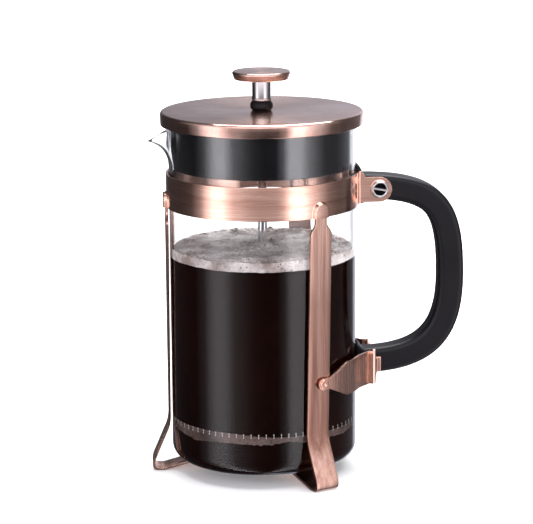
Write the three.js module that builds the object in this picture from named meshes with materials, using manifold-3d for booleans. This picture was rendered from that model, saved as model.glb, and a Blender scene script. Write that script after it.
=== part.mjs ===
// French press, one litre: a glass beaker standing in a metal strip frame with a plastic handle,
// and a lid that carries the plunger and its filter. Millimetres, +Z up, handle toward +X,
// spout toward -X, feet on z = 0.
import * as THREE from "three";
import * as BufferGeometryUtils from "three/addons/utils/BufferGeometryUtils.js";
import Module from "manifold-3d";

const wasm = await Module();
wasm.setup();

// Driving dimensions.
const CLEARANCE = 0.3;
const ROUND = 40;
const SMALL_ROUND = 12;

const GLASS_RADIUS = 50;
const GLASS_WALL = 2;
const GLASS_BASE_Z = 6.5;
const GLASS_BASE_THICKNESS = 2.5;
const GLASS_HEEL = 8;
const GLASS_RIM_Z = 190.4;
const SPOUT_REACH = 12.3;
const SPOUT_DROP = 9.5;
const SPOUT_START_Z = 166;
const SPOUT_HALF_ANGLE = THREE.MathUtils.degToRad(18);
const SPOUT_DIP_ANGLE = THREE.MathUtils.degToRad(16.5);

const STRIP = 1.2;
const BAND_RADIUS = 51;
const BAND_BOTTOM_Z = 145.3;
const BAND_HEIGHT = 17.7;
const TAB_HEIGHT = 13.5;
const TAB_Z = 152.8;
const TAB_END_X = 69;
const POCKET_WIDTH = 9.4;
const POCKET_HEIGHT = 8.3;
const POCKET_WALL = 0.65;

const LEG_ANGLES = { leg_spout: Math.PI, leg_left: Math.PI / 3, leg_right: -Math.PI / 3 };
const LEG_RADIUS = 51.5;
const LEG_TWIST = THREE.MathUtils.degToRad(-2.8);
const LEG_TWIST_TOP_Z = 136.8;
const LEG_TWIST_BOTTOM_Z = 30.5;
const LEG_WIDTH = 13.6;
const TONGUE_WIDTH = 7.4;
const TONGUE_TOP_Z = 151.6;
const LEG_BEND_Z = 28;
const FOOT_RADIUS = 61;
const LEG_INNER_END = 6;
const LEG_INNER_Z = 5.5;
const HUB_RADIUS = 16;
const HUB_THICKNESS = 1.2;
const HUB_TOP_Z = 4.6;
const HUB_RIVET_CIRCLE = 11.5;
const RIVET_SHANK = 1.5;

const STRAP_RADIUS = 53.6;
const STRAP_Z = 56.3;
const STRAP_HEIGHT = 18;
const STRAP_NECK = 6.2;
const EYE_RADIUS = 3.2;
const EYE_ANGLE = THREE.MathUtils.degToRad(60);
const STRAP_CURVE_END = THREE.MathUtils.degToRad(24);
const STRAP_TAB_HEIGHT = 8.3;

const HANDLE_WIDTH = 13.4;
const HANDLE_DEPTH = 13.8;
const HANDLE_ROOT_X = 51.8;
const HANDLE_REACH_X = 102;
const SCREW_X = 62.3;
const SCREW_Z = 153.1;
const SCREW_SHANK = 2;
const SCREW_HEAD = 4.8;

const LID_RADIUS = 54.3;
const LID_TOP_Z = 196;
const LID_BOTTOM_Z = 189;
const LID_SHEET = 1;
const COLLAR_RADIUS = 47.3;
const COLLAR_WALL = 1.5;
const COLLAR_BOTTOM_Z = 166;
const LID_HOLE = 4.4;

const BUSHING_RADIUS = 6.1;
const BUSHING_TOP_Z = 201;
const ROD_RADIUS = 2.4;
const ROD_BOTTOM_Z = 21.5;
const ROD_TOP_Z = 209.5;
const COLUMN_RADIUS = 5;
const KNOB_RADIUS = 15.6;
const KNOB_BOTTOM_Z = 212.7;
const KNOB_TOP_Z = 217;

const MESH_RADIUS = 47.4;
const MESH_BOTTOM_Z = 25.4;
const MESH_TOP_Z = 30.6;
const SPRING_RADIUS = 45;
const SPRING_WIRE_COIL = 1.4;
const SPRING_Z = 28.9;
const PLATE_RADIUS = 43.2;
const PLATE_Z = 28.3;
const CROSS_RADIUS = 40;

// The handle's outermost point and the spout's tip are the ends of the press along X.
const REACH_PLUS_X = HANDLE_REACH_X + HANDLE_DEPTH / 2;
const REACH_MINUS_X = GLASS_RADIUS + SPOUT_REACH;
const AXIS_X = (REACH_MINUS_X - REACH_PLUS_X) / 2;

// Solids: booleans are made on merged position-only meshes.
function solidOf(geometry) {
  const bare = new THREE.BufferGeometry();
  bare.setAttribute("position", geometry.getAttribute("position").clone());
  if (geometry.index) bare.setIndex(geometry.index.clone());
  const merged = BufferGeometryUtils.mergeVertices(bare, 1e-4);
  return new wasm.Manifold(new wasm.Mesh({
    numProp: 3,
    vertProperties: new Float32Array(merged.getAttribute("position").array),
    triVerts: new Uint32Array(merged.index.array),
  }));
}

function geometryOf(solid) {
  const mesh = solid.getMesh();
  const geometry = new THREE.BufferGeometry();
  geometry.setAttribute("position", new THREE.BufferAttribute(mesh.vertProperties, 3));
  geometry.setIndex(new THREE.BufferAttribute(mesh.triVerts, 1));
  return geometry;
}

// A profile of [radius, z] points turned about the press's axis.
function turned(profile, segments = ROUND) {
  const points = profile.map(([radius, z]) => new THREE.Vector2(radius, z));
  const geometry = new THREE.LatheGeometry(points, segments);
  geometry.rotateX(Math.PI / 2);
  return geometry;
}

// The same for a ring whose profile closes on itself.
function turnedRing(profile, segments = ROUND) {
  return turned([...profile, profile[0]], segments);
}

function cylinder(radius, height, segments = SMALL_ROUND) {
  const geometry = new THREE.CylinderGeometry(radius, radius, height, segments);
  geometry.rotateX(Math.PI / 2);
  return geometry;
}

function arc(centre, radius, fromDegrees, toDegrees, steps) {
  const points = [];
  for (let i = 0; i <= steps; i += 1) {
    const angle = THREE.MathUtils.degToRad(fromDegrees + ((toDegrees - fromDegrees) * i) / steps);
    points.push([centre[0] + radius * Math.cos(angle), centre[1] + radius * Math.sin(angle)]);
  }
  return points;
}

// A bent strip: each station has a centre, a normal, the across direction and its low and high edges.
function ribbon(stations, thickness) {
  const positions = [];
  const indices = [];
  for (const { centre, normal, across, low, high } of stations) {
    for (const [edge, side] of [[low, -1], [high, -1], [high, 1], [low, 1]]) {
      const corner = centre.clone().addScaledVector(across, edge);
      corner.addScaledVector(normal, (side * thickness) / 2);
      positions.push(corner.x, corner.y, corner.z);
    }
  }
  const quad = (a, b, c, d) => indices.push(a, b, c, a, c, d);
  const last = 4 * (stations.length - 1);
  for (let base = 0; base < last; base += 4) {
    for (let i = 0; i < 4; i += 1) {
      const next = (i + 1) % 4;
      quad(base + i, base + next, base + 4 + next, base + 4 + i);
    }
  }
  quad(3, 2, 1, 0);
  quad(last, last + 1, last + 2, last + 3);
  const geometry = new THREE.BufferGeometry();
  geometry.setAttribute("position", new THREE.Float32BufferAttribute(positions, 3));
  geometry.setIndex(indices);
  const solid = solidOf(geometry);
  if (solid.volume() > 0) return geometry;
  geometry.setIndex(indices.map((_, i) => indices[i - (i % 3) + 2 - (i % 3)]));
  return geometry;
}

// Stations along a plane path: points are [u, v], placed by toSpace, with edges given by a function
// of the point and of the length travelled so far.
function stationsAlong(points, toSpace, across, edges) {
  const lengths = [0];
  for (let i = 1; i < points.length; i += 1) {
    const [before, here] = [points[i - 1], points[i]];
    lengths.push(lengths[i - 1] + Math.hypot(here[0] - before[0], here[1] - before[1]));
  }
  return points.map((point, i) => {
    const before = points[Math.max(i - 1, 0)];
    const after = points[Math.min(i + 1, points.length - 1)];
    const along = new THREE.Vector2(after[0] - before[0], after[1] - before[1]).normalize();
    const origin = toSpace(0, 0);
    const [low, high] = edges(point, lengths[i]);
    return {
      centre: toSpace(point[0], point[1]),
      normal: toSpace(along.y, -along.x).sub(origin),
      across,
      low,
      high,
    };
  });
}

// Glass beaker: a turned wall whose rim is drawn out and dipped into a pouring spout.
function beakerGeometry() {
  const inner = GLASS_RADIUS - GLASS_WALL;
  const floor = GLASS_BASE_Z + GLASS_BASE_THICKNESS;
  const heel = [GLASS_RADIUS - GLASS_HEEL, GLASS_BASE_Z + GLASS_HEEL];
  const innerHeel = GLASS_HEEL - GLASS_WALL;
  const wallZ = [SPOUT_START_Z, 173, 179, 183, 187, GLASS_RIM_Z];
  const profile = [
    [0, GLASS_BASE_Z],
    ...arc(heel, GLASS_HEEL, -90, 0, 4),
    ...wallZ.map((z) => [GLASS_RADIUS, z]),
    ...wallZ.toReversed().map((z) => [inner, z]),
    ...arc([inner - innerHeel, floor + innerHeel], innerHeel, 0, -90, 3),
    [0, floor],
  ];
  return pulledSpout(turned(profile, 48));
}

function pulledSpout(geometry) {
  const position = geometry.getAttribute("position");
  for (let i = 0; i < position.count; i += 1) {
    const [x, y, z] = [position.getX(i), position.getY(i), position.getZ(i)];
    const away = Math.abs(Math.atan2(y, -x));
    if (z <= SPOUT_START_Z || away >= SPOUT_HALF_ANGLE) continue;
    const rise = (z - SPOUT_START_Z) / (GLASS_RIM_Z - SPOUT_START_Z);
    const pull = rise ** 2 * Math.cos((Math.PI / 2) * (away / SPOUT_HALF_ANGLE)) ** 2;
    const dip = rise ** 2 * Math.cos((Math.PI / 2) * Math.min(1, away / SPOUT_DIP_ANGLE)) ** 2;
    const radius = Math.hypot(x, y);
    const stretch = (radius + SPOUT_REACH * pull) / radius;
    position.setXYZ(i, x * stretch, y * stretch, z - SPOUT_DROP * dip);
  }
  return geometry;
}

// Band: one strip bent round the glass, its two ends turned out as tabs beside the handle.
const TAB_Y = HANDLE_WIDTH / 2 + CLEARANCE + STRIP / 2;

function bandGeometry() {
  const bend = 1.8;
  const start = Math.asin((TAB_Y + bend) / (BAND_RADIUS + bend));
  const turn = (BAND_RADIUS + bend) * Math.cos(start);
  const tabRadius = TAB_HEIGHT / 2;
  const half = [];
  for (const share of [1, 0.96, 0.85, 0.66, 0.4, 0]) {
    half.push([TAB_END_X - tabRadius + tabRadius * share, TAB_Y]);
  }
  half.push([turn + 2.6, TAB_Y], [turn + 1.4, TAB_Y]);
  const startDegrees = THREE.MathUtils.radToDeg(start);
  half.push(...arc([turn, TAB_Y + bend], bend, -90, -180 + startDegrees, 3));
  const ringSteps = 44;
  const points = [...half];
  for (let i = 1; i < ringSteps; i += 1) {
    const angle = start + ((2 * Math.PI - 2 * start) * i) / ringSteps;
    points.push([BAND_RADIUS * Math.cos(angle), BAND_RADIUS * Math.sin(angle)]);
  }
  points.push(...half.toReversed().map(([x, y]) => [x, -y]));
  const edges = ([x]) => {
    if (x < turn + 2) return [BAND_BOTTOM_Z, BAND_BOTTOM_Z + BAND_HEIGHT];
    const past = Math.max(0, x - (TAB_END_X - tabRadius));
    const reach = Math.sqrt(Math.max(0.16, tabRadius ** 2 - past ** 2));
    return [TAB_Z - reach, TAB_Z + reach];
  };
  const place = (x, y) => new THREE.Vector3(x, y, 0);
  const strip = ribbon(stationsAlong(points, place, new THREE.Vector3(0, 0, 1), edges), STRIP);
  let solid = solidOf(strip);
  const screwHole = solidOf(cylinder(SCREW_SHANK + CLEARANCE, 40).rotateX(Math.PI / 2)
    .translate(SCREW_X, 0, SCREW_Z));
  solid = solid.subtract(screwHole);
  for (const angle of Object.values(LEG_ANGLES)) {
    solid = solid.add(solidOf(arch(POCKET_WIDTH, POCKET_HEIGHT, 50.6, 53.4, angle)));
    const [width, height] = [POCKET_WIDTH - 2 * POCKET_WALL, POCKET_HEIGHT - 2 * POCKET_WALL];
    solid = solid.subtract(solidOf(arch(width, height, 49, 52.5, angle, 2)));
  }
  return geometryOf(solid);
}

// A round-topped block standing across the band's lower edge, between two radii, at one leg.
function arch(width, height, innerRadius, outerRadius, angle, below = 0) {
  const outline = new THREE.Shape();
  outline.moveTo(-width / 2, -below);
  outline.lineTo(width / 2, -below);
  outline.lineTo(width / 2, height - width / 2);
  outline.absarc(0, height - width / 2, width / 2, 0, Math.PI, false);
  const depth = outerRadius - innerRadius;
  const block = new THREE.ExtrudeGeometry(outline, { depth, bevelEnabled: false, curveSegments: 8 });
  block.rotateX(Math.PI / 2);
  block.rotateZ(Math.PI / 2);
  block.translate(innerRadius, 0, BAND_BOTTOM_Z);
  block.rotateZ(angle);
  return block;
}

// Leg: a strip from the band's pocket down the glass, out to a bent foot and back under the base.
function legGeometry(angle) {
  const half = STRIP / 2;
  const path = new THREE.Path();
  path.moveTo(LEG_RADIUS, LEG_BEND_Z + 2.5);
  path.quadraticCurveTo(LEG_RADIUS, LEG_BEND_Z - 1, LEG_RADIUS + 1.2, LEG_BEND_Z - 4.5);
  path.lineTo(FOOT_RADIUS - 1.2, 7);
  path.bezierCurveTo(FOOT_RADIUS + 0.4, 2.4, FOOT_RADIUS - 0.6, half, FOOT_RADIUS - 3.4, half);
  path.lineTo(FOOT_RADIUS - 4, half);
  path.lineTo(FOOT_RADIUS - 5.6, half);
  path.lineTo(FOOT_RADIUS - 6.2, half);
  path.lineTo(40, LEG_INNER_Z - 0.8);
  path.quadraticCurveTo(37.5, LEG_INNER_Z, 34, LEG_INNER_Z);
  path.lineTo(LEG_INNER_END, LEG_INNER_Z);
  const tongueEnd = TONGUE_TOP_Z - TONGUE_WIDTH / 2;
  const tongue = [1, 0.9, 0.6, 0].map((s) => [LEG_RADIUS, tongueEnd + (s * TONGUE_WIDTH) / 2]);
  const flare = [[LEG_RADIUS, 142.4], [LEG_RADIUS, 140], [LEG_RADIUS, 136.8]];
  const bends = path.getPoints(6).map(({ x, y }) => [x, y]);
  const edges = ([, z], travelled) => {
    const inTongue = travelled < 20;
    let width = LEG_WIDTH;
    if (inTongue && z > tongueEnd) {
      const rise = z - tongueEnd;
      width = 2 * Math.sqrt(Math.max(0.25, (TONGUE_WIDTH / 2) ** 2 - rise ** 2));
    } else if (inTongue && z > 136.8) {
      const flared = THREE.MathUtils.smoothstep(142.4 - z, 0, 5.6);
      width = THREE.MathUtils.lerp(TONGUE_WIDTH, LEG_WIDTH, flared);
    }
    return [-width / 2, width / 2];
  };
  const place = (radius, z) => new THREE.Vector3(radius, 0, z);
  const across = new THREE.Vector3(0, 1, 0);
  const stations = stationsAlong([...tongue, ...flare, ...bends], place, across, edges);
  let solid = solidOf(twisted(ribbon(stations, STRIP)));
  const hubHole = cylinder(RIVET_SHANK + CLEARANCE, 20).translate(HUB_RIVET_CIRCLE, 0, LEG_INNER_Z);
  solid = solid.subtract(solidOf(hubHole.rotateZ(LEG_TWIST)));
  if (angle !== Math.PI) solid = solid.subtract(solidOf(strapRivetHole()));
  const geometry = geometryOf(solid);
  geometry.rotateZ(angle);
  return geometry;
}

// The frame's foot is turned a little against its band, so each leg leans along the glass.
function twisted(geometry) {
  const position = geometry.getAttribute("position");
  const corner = new THREE.Vector3();
  const up = new THREE.Vector3(0, 0, 1);
  for (let i = 0; i < position.count; i += 1) {
    corner.fromBufferAttribute(position, i);
    const share = (LEG_TWIST_TOP_Z - corner.z) / (LEG_TWIST_TOP_Z - LEG_TWIST_BOTTOM_Z);
    corner.applyAxisAngle(up, LEG_TWIST * THREE.MathUtils.clamp(share, 0, 1));
    position.setXYZ(i, corner.x, corner.y, corner.z);
  }
  return geometry;
}

function strapRivetHole() {
  const hole = cylinder(RIVET_SHANK + CLEARANCE, 20);
  return hole.rotateY(Math.PI / 2).translate(LEG_RADIUS, 0, STRAP_Z);
}

// Hub plate under the base, where the three legs' inner ends are riveted.
function hubGeometry() {
  let solid = solidOf(cylinder(HUB_RADIUS, HUB_THICKNESS, 36)
    .translate(0, 0, HUB_TOP_Z - HUB_THICKNESS / 2));
  for (const angle of Object.values(LEG_ANGLES)) {
    const hole = cylinder(RIVET_SHANK + CLEARANCE, 8);
    hole.translate(HUB_RIVET_CIRCLE, 0, HUB_TOP_Z).rotateZ(angle + LEG_TWIST);
    solid = solid.subtract(solidOf(hole));
  }
  return geometryOf(solid);
}

function hubRivetGeometry(angle) {
  const headTop = HUB_TOP_Z - HUB_THICKNESS - CLEARANCE;
  const shankTop = LEG_INNER_Z + STRIP / 2 - 0.1;
  const geometry = turned([
    [0, headTop - 1.2], [2, headTop - 1.2], [2.8, headTop - 0.5], [2.8, headTop],
    [RIVET_SHANK, headTop], [RIVET_SHANK, shankTop], [0, shankTop],
  ], SMALL_ROUND);
  geometry.translate(HUB_RIVET_CIRCLE, 0, 0);
  geometry.rotateZ(angle + LEG_TWIST);
  return geometry;
}

// Strap: from a riveted eye on the leg, widening round to the handle, ending in an upright fold
// and a narrow tab held against the handle's side. side is +1 for the left leg, -1 for the right.
function strapGeometry(side) {
  const eyeStart = EYE_ANGLE + EYE_RADIUS / STRAP_RADIUS;
  const points = [];
  const curveSteps = 22;
  for (let i = 0; i <= curveSteps; i += 1) {
    const angle = eyeStart + ((STRAP_CURVE_END - eyeStart) * (i / curveSteps) ** 1.25);
    points.push([STRAP_RADIUS * Math.cos(angle), STRAP_RADIUS * Math.sin(angle)]);
  }
  const sideY = HANDLE_WIDTH / 2 + CLEARANCE + STRIP / 2;
  const foldX = 57.4;
  const foldRadius = 1.5;
  points.push([54.6, 13.6]);
  points.push(...arc([foldX, 12.4], foldRadius, 160, -20, 6));
  points.push([foldX + 1.3, sideY + 2]);
  points.push([foldX + 1.9, sideY + 0.3], [foldX + 3, sideY], [foldX + 5.4, sideY]);
  const widen = (travelled) => {
    const eye = 2 * EYE_RADIUS;
    if (travelled < EYE_RADIUS) {
      const back = EYE_RADIUS - travelled;
      return 2 * Math.sqrt(Math.max(0.2, EYE_RADIUS ** 2 - back ** 2));
    }
    if (travelled < eye + 1.5) return STRAP_NECK;
    const grown = THREE.MathUtils.clamp((travelled - eye - 1.5) / 13, 0, 1);
    return THREE.MathUtils.lerp(STRAP_NECK, STRAP_HEIGHT, grown);
  };
  const edges = ([x], travelled) => {
    const height = x > foldX + 1.6 ? STRAP_TAB_HEIGHT : widen(travelled);
    return [STRAP_Z - height / 2, STRAP_Z + height / 2];
  };
  const place = (x, y) => new THREE.Vector3(x, y, 0);
  const stations = stationsAlong(points, place, new THREE.Vector3(0, 0, 1), edges);
  const eyeHole = solidOf(strapRivetHole().rotateZ(EYE_ANGLE));
  const geometry = geometryOf(solidOf(ribbon(stations, STRIP)).subtract(eyeHole));
  return side > 0 ? geometry : mirroredY(geometry);
}

function mirroredY(geometry) {
  const position = geometry.getAttribute("position");
  for (let i = 0; i < position.count; i += 1) position.setY(i, -position.getY(i));
  const index = geometry.index.array;
  for (let i = 0; i < index.length; i += 3) [index[i], index[i + 1]] = [index[i + 1], index[i]];
  return geometry;
}

function strapRivetGeometry(side) {
  const outside = STRAP_RADIUS + STRIP / 2 + CLEARANCE;
  const geometry = turned([
    [0, LEG_RADIUS - STRIP / 2 + 0.1], [RIVET_SHANK, LEG_RADIUS - STRIP / 2 + 0.1],
    [RIVET_SHANK, outside], [2.3, outside], [1.8, outside + 0.6], [0, outside + 0.8],
  ], SMALL_ROUND);
  geometry.rotateY(Math.PI / 2);
  geometry.translate(0, 0, STRAP_Z);
  geometry.rotateZ(side * EYE_ANGLE);
  return geometry;
}

// Handle: a rounded bar swept along a D, with curved feet that stand against the glass.
function handleGeometry() {
  const point = (x, z) => new THREE.Vector3(x, 0, z);
  const top = point(HANDLE_ROOT_X, 154);
  const bow = point(HANDLE_REACH_X, 104);
  const bottom = point(HANDLE_ROOT_X, 57.8);
  const path = new THREE.CurvePath();
  path.add(new THREE.CubicBezierCurve3(top, point(94, 153.5), point(HANDLE_REACH_X, 143), bow));
  path.add(new THREE.CubicBezierCurve3(bow, point(HANDLE_REACH_X, 70), point(88, 57.5), bottom));
  const bar = new THREE.ExtrudeGeometry(roundedSection(HANDLE_WIDTH, HANDLE_DEPTH, 3.2), {
    steps: 24,
    extrudePath: path,
  });
  let solid = solidOf(bar);
  solid = solid.add(solidOf(saddle(7, 145.8, 165.5)));
  solid = solid.add(solidOf(saddle(10, 47.5, 67.5)));
  solid = solid.subtract(solidOf(cylinder(GLASS_RADIUS + 0.5, 300, 72).translate(0, 0, 100)));
  const screwHole = cylinder(SCREW_SHANK + CLEARANCE, 40).rotateX(Math.PI / 2);
  solid = solid.subtract(solidOf(screwHole.translate(SCREW_X, 0, SCREW_Z)));
  return geometryOf(solid);
}

function roundedSection(width, depth, corner) {
  const section = new THREE.Shape();
  const [x, y] = [width / 2 - corner, depth / 2 - corner];
  for (const [cx, cy, from] of [[x, y, 0], [-x, y, 90], [-x, -y, 180], [x, -y, 270]]) {
    for (const [px, py] of arc([cx, cy], corner, from, from + 90, 3)) {
      if (section.curves.length === 0 && cx > 0 && cy > 0 && py === cy) section.moveTo(px, py);
      else section.lineTo(px, py);
    }
  }
  return section;
}

// A plate curved round the glass, as wide as the given degrees on each side of the handle.
function saddle(halfDegrees, lowZ, highZ) {
  const points = arc([0, 0], GLASS_RADIUS + 2, -halfDegrees, halfDegrees, 6);
  const place = (x, y) => new THREE.Vector3(x, y, 0);
  const across = new THREE.Vector3(0, 0, 1);
  return ribbon(stationsAlong(points, place, across, () => [lowZ, highZ]), 3);
}

function screwGeometry() {
  const seat = TAB_Y + STRIP / 2 + CLEARANCE;
  const profile = [
    [0, -seat - 2.2], [3.9, -seat - 2.2], [SCREW_HEAD, -seat - 1.2], [SCREW_HEAD, -seat],
    [SCREW_SHANK, -seat], [SCREW_SHANK, seat + 1.8], [0, seat + 1.8],
  ];
  const turnedScrew = solidOf(turned(profile, 28));
  const slot = new THREE.BoxGeometry(12, 1.1, 1.8);
  slot.rotateZ(THREE.MathUtils.degToRad(11)).translate(0, 0, -seat - 2.2);
  const geometry = geometryOf(turnedScrew.subtract(solidOf(slot)));
  return geometry.rotateX(-Math.PI / 2).translate(SCREW_X, 0, SCREW_Z);
}

function screwNutGeometry() {
  const seat = TAB_Y + STRIP / 2 + CLEARANCE;
  const bore = SCREW_SHANK + CLEARANCE;
  const geometry = turned([
    [0, seat + 2.2], [bore, seat + 2.2], [bore, seat], [4.5, seat],
    [4.5, seat + 2], [3.4, seat + 3.2], [0, seat + 3.2],
  ], 28);
  return geometry.rotateX(-Math.PI / 2).translate(SCREW_X, 0, SCREW_Z);
}

// Lid: a metal cover over a plastic collar that reaches down inside the glass.
function lidCoverGeometry() {
  const inside = LID_RADIUS - LID_SHEET;
  const round = 1.6;
  return turnedRing([
    [LID_HOLE, LID_TOP_Z],
    ...arc([LID_RADIUS - round, LID_TOP_Z - round], round, 90, 0, 3),
    [LID_RADIUS - 0.2, LID_BOTTOM_Z],
    [inside - 0.2, LID_BOTTOM_Z],
    [inside, LID_TOP_Z - LID_SHEET - 0.6],
    [inside - 0.6, LID_TOP_Z - LID_SHEET],
    [LID_HOLE, LID_TOP_Z - LID_SHEET],
  ].toReversed());
}

function lidCollarGeometry() {
  const top = LID_TOP_Z - LID_SHEET - CLEARANCE;
  const flangeZ = GLASS_RIM_Z + CLEARANCE;
  const inside = COLLAR_RADIUS - COLLAR_WALL;
  const ring = turnedRing([
    [LID_HOLE, top - 1.4], [inside, top - 1.4], [inside, COLLAR_BOTTOM_Z],
    [COLLAR_RADIUS, COLLAR_BOTTOM_Z], [COLLAR_RADIUS, flangeZ],
    [52.2, flangeZ], [52.2, top], [LID_HOLE, top],
  ]);
  let solid = solidOf(ring);
  const slots = 5;
  for (let i = 0; i < slots; i += 1) {
    const slot = new THREE.BoxGeometry(6, 2.4, 13);
    slot.translate(-COLLAR_RADIUS, 0, 180);
    slot.rotateZ(THREE.MathUtils.degToRad(7 * (i - (slots - 1) / 2)));
    solid = solid.subtract(solidOf(slot));
  }
  return geometryOf(solid);
}

// Bushing: a collar on the lid whose neck passes through it and guides the rod.
function bushingGeometry() {
  const bore = ROD_RADIUS + 0.1;
  const neck = LID_HOLE - CLEARANCE;
  return turnedRing([
    [bore, 190], [neck, 190], [neck, LID_TOP_Z + CLEARANCE],
    [BUSHING_RADIUS, LID_TOP_Z + CLEARANCE], [BUSHING_RADIUS, BUSHING_TOP_Z - 1.2],
    [BUSHING_RADIUS - 1, BUSHING_TOP_Z], [bore, BUSHING_TOP_Z],
  ], 28);
}

function bushingClipGeometry() {
  const top = LID_TOP_Z - LID_SHEET - 2 * CLEARANCE - 1.4;
  return turnedRing([[LID_HOLE, top - 1.2], [7.5, top - 1.2], [7.5, top], [LID_HOLE, top]], 28);
}

// Plunger: rod, polished column and knob above the lid.
function rodGeometry() {
  return turned([
    [0, ROD_BOTTOM_Z], [ROD_RADIUS - 0.5, ROD_BOTTOM_Z], [ROD_RADIUS, ROD_BOTTOM_Z + 0.5],
    [ROD_RADIUS, ROD_TOP_Z - 0.5], [ROD_RADIUS - 0.5, ROD_TOP_Z], [0, ROD_TOP_Z],
  ], 28);
}

function columnGeometry() {
  const bore = ROD_RADIUS + CLEARANCE;
  const bottom = BUSHING_TOP_Z + CLEARANCE;
  return turned([
    [0, ROD_TOP_Z + CLEARANCE], [bore, ROD_TOP_Z + CLEARANCE], [bore, bottom],
    [COLUMN_RADIUS + 0.2, bottom], [COLUMN_RADIUS + 0.2, bottom + 1],
    [COLUMN_RADIUS, bottom + 1.6], [COLUMN_RADIUS, KNOB_BOTTOM_Z - CLEARANCE],
    [0, KNOB_BOTTOM_Z - CLEARANCE],
  ], 28);
}

function knobGeometry() {
  return turned([
    [0, KNOB_BOTTOM_Z], [KNOB_RADIUS - 1.4, KNOB_BOTTOM_Z], [KNOB_RADIUS - 0.7, KNOB_BOTTOM_Z + 0.7],
    [KNOB_RADIUS, KNOB_TOP_Z - 0.9], [KNOB_RADIUS - 0.6, KNOB_TOP_Z], [0, KNOB_TOP_Z],
  ], 40);
}

// Filter: plate, edge spring, mesh, cross plate and the nuts that clamp them on the rod.
const FILTER_BORE = ROD_RADIUS + CLEARANCE;

function spiralPlateGeometry() {
  const ring = turnedRing([
    [FILTER_BORE, PLATE_Z], [PLATE_RADIUS, PLATE_Z], [PLATE_RADIUS, PLATE_Z + 2],
    [PLATE_RADIUS - 0.8, PLATE_Z + 2], [PLATE_RADIUS - 0.8, PLATE_Z + 0.8], [FILTER_BORE, PLATE_Z + 0.8],
  ]);
  return geometryOf(pierced(solidOf(ring), 8, 3.6, 27, PLATE_Z));
}

function crossPlateGeometry() {
  const top = MESH_BOTTOM_Z - CLEARANCE;
  const bottom = top - 1;
  const disc = turnedRing([
    [FILTER_BORE, bottom], [CROSS_RADIUS, bottom], [CROSS_RADIUS, top], [FILTER_BORE, top],
  ]);
  return geometryOf(pierced(solidOf(disc), 4, 10, 23, bottom));
}

// Cuts evenly spaced round holes on a circle.
function pierced(solid, count, radius, circle, z) {
  let result = solid;
  for (let i = 0; i < count; i += 1) {
    const hole = cylinder(radius, 6, 12).translate(circle, 0, z);
    hole.rotateZ((2 * Math.PI * (i + 0.5)) / count);
    result = result.subtract(solidOf(hole));
  }
  return result;
}

function edgeSpringGeometry() {
  return turnedRing(arc([SPRING_RADIUS, SPRING_Z], SPRING_WIRE_COIL, 0, 315, 7));
}

function meshScreenGeometry() {
  const sheet = 0.6;
  return turnedRing([
    [FILTER_BORE, MESH_BOTTOM_Z], [MESH_RADIUS - 0.8, MESH_BOTTOM_Z], [MESH_RADIUS, MESH_BOTTOM_Z + 0.8],
    [MESH_RADIUS, MESH_TOP_Z], [MESH_RADIUS - sheet, MESH_TOP_Z],
    [MESH_RADIUS - sheet, MESH_BOTTOM_Z + 1], [MESH_RADIUS - 1, MESH_BOTTOM_Z + sheet],
    [FILTER_BORE, MESH_BOTTOM_Z + sheet],
  ]);
}

function filterHubGeometry() {
  const bottom = PLATE_Z + 0.8 + CLEARANCE;
  return turnedRing([
    [FILTER_BORE, bottom], [7, bottom], [7, bottom + 1.2], [4.4, bottom + 1.8],
    [4.4, bottom + 7], [FILTER_BORE, bottom + 7],
  ], 24);
}

function filterNutGeometry() {
  const top = MESH_BOTTOM_Z - 1 - 2 * CLEARANCE;
  const height = 2.4;
  const hexagon = cylinder(5.5, height, 6).translate(0, 0, top - height / 2);
  const bore = cylinder(FILTER_BORE, 2 * height, 24).translate(0, 0, top);
  return geometryOf(solidOf(hexagon).subtract(solidOf(bore)));
}

// Finishes.
const copper = () => new THREE.MeshStandardMaterial({ color: 0xc0846c, roughness: 0.35, metalness: 1 });
const steel = () => new THREE.MeshStandardMaterial({ color: 0xc8c8ca, roughness: 0.2, metalness: 1 });
const plastic = () => new THREE.MeshStandardMaterial({ color: 0x1c1b1e, roughness: 0.45, metalness: 0 });
const glass = () => new THREE.MeshStandardMaterial({
  color: 0xeef4f4, roughness: 0.03, metalness: 0, transparent: true, opacity: 0.35,
});

const press = new THREE.Group();
press.position.x = AXIS_X;

function place(name, geometry, material) {
  const mesh = new THREE.Mesh(geometry, material);
  mesh.name = name;
  press.add(mesh);
}

place("beaker", beakerGeometry(), glass());
place("band", bandGeometry(), copper());
for (const [name, angle] of Object.entries(LEG_ANGLES)) {
  place(name, legGeometry(angle), copper());
  place(name.replace("leg", "hub_rivet"), hubRivetGeometry(angle), steel());
}
place("hub_plate", hubGeometry(), copper());
for (const [name, side] of [["left", 1], ["right", -1]]) {
  place(`strap_${name}`, strapGeometry(side), copper());
  place(`strap_rivet_${name}`, strapRivetGeometry(side), copper());
}
place("handle", handleGeometry(), plastic());
place("handle_screw", screwGeometry(), steel());
place("handle_nut", screwNutGeometry(), steel());
place("lid_cover", lidCoverGeometry(), copper());
place("lid_collar", lidCollarGeometry(), plastic());
place("rod_bushing", bushingGeometry(), plastic());
place("bushing_clip", bushingClipGeometry(), steel());
place("plunger_rod", rodGeometry(), steel());
place("knob_column", columnGeometry(), steel());
place("knob", knobGeometry(), copper());
place("filter_hub", filterHubGeometry(), steel());
place("spiral_plate", spiralPlateGeometry(), steel());
place("edge_spring", edgeSpringGeometry(), steel());
place("mesh_screen", meshScreenGeometry(), steel());
place("cross_plate", crossPlateGeometry(), steel());
place("filter_nut", filterNutGeometry(), steel());

export default press;
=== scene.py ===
"""One-litre French press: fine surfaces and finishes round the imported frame. Metres, +Z up."""
import math
import random

import bmesh
import bpy
from mathutils import Matrix, Vector, noise


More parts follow.
